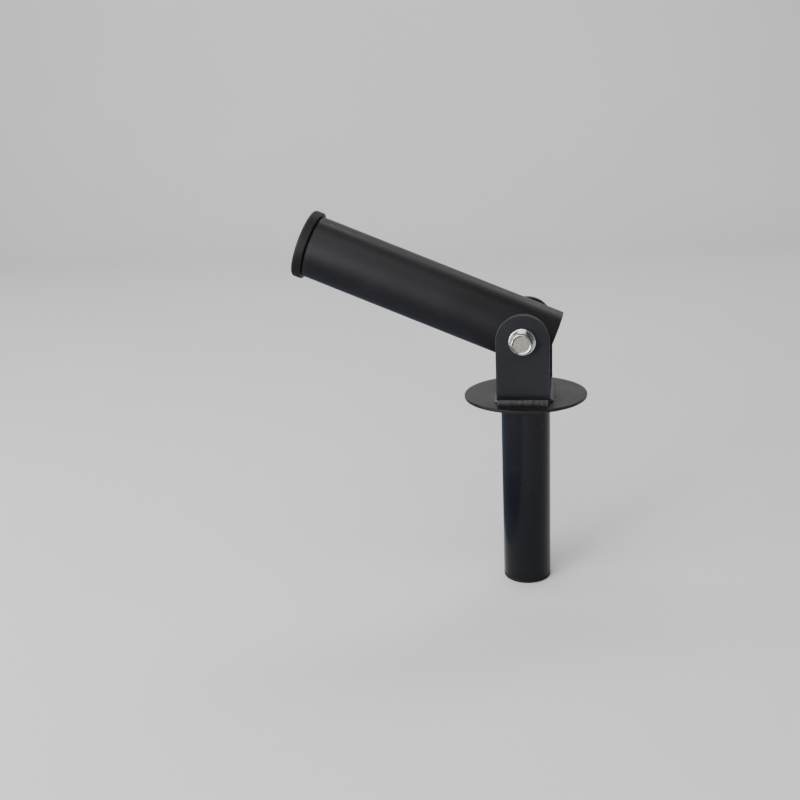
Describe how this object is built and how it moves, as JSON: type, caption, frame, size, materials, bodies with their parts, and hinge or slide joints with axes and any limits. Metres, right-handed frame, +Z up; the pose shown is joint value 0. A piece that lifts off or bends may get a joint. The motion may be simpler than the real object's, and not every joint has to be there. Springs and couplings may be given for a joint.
{
  "type": "barbell pivot attachment",
  "caption": "Black steel post and stop disc that drop into a stack of weight plates, with a bolted clevis and a tilting tube that takes the end of a bar.",
  "frame": {"origin": "centre of the stop disc's underside, on the post's axis", "axes": "+Z up along the post, -X towards the tube's mouth, Y along the pivot bolt with its head at -Y"},
  "size_m": [0.2841, 0.1231, 0.3786],
  "materials": {
    "satin_black_coat": "satin black powder coat with a fine grain",
    "charcoal_coat": "semi-matt charcoal powder coat",
    "gloss_black_paint": "gloss black paint",
    "black_plastic": "moulded black nylon",
    "pale_nylon": "turned natural nylon",
    "bright_zinc": "bright zinc plate",
    "bare_steel": "machined steel, oiled"
  },
  "bodies": {
    "base": {"base_disc": "satin_black_coat", "post_tube": "gloss_black_paint", "post_weld": "gloss_black_paint", "post_end_plug": "black_plastic", "clevis_bracket": "charcoal_coat", "bracket_weld_near": "charcoal_coat", "bracket_weld_far": "charcoal_coat", "bracket_weld_left": "charcoal_coat", "bracket_weld_right": "charcoal_coat", "pivot_bolt": "bright_zinc", "nut_washer": "bright_zinc", "lock_nut": "bright_zinc", "lock_nut_insert": "pale_nylon"},
    "receiver": {"receiver_tube": "satin_black_coat", "mouth_bush": "black_plastic", "pivot_sleeve": "bare_steel", "sleeve_weld_near": "satin_black_coat", "sleeve_weld_far": "satin_black_coat", "pivot_bush_near": "pale_nylon", "pivot_bush_far": "pale_nylon"}
  },
  "joints": [
    {"name": "tube_pivot", "type": "hinge", "parent": "base", "child": "receiver", "pos_m": [0, 0, 0.065], "axis": [0, 1, 0], "range_deg": [-46, 181]}
  ]
}
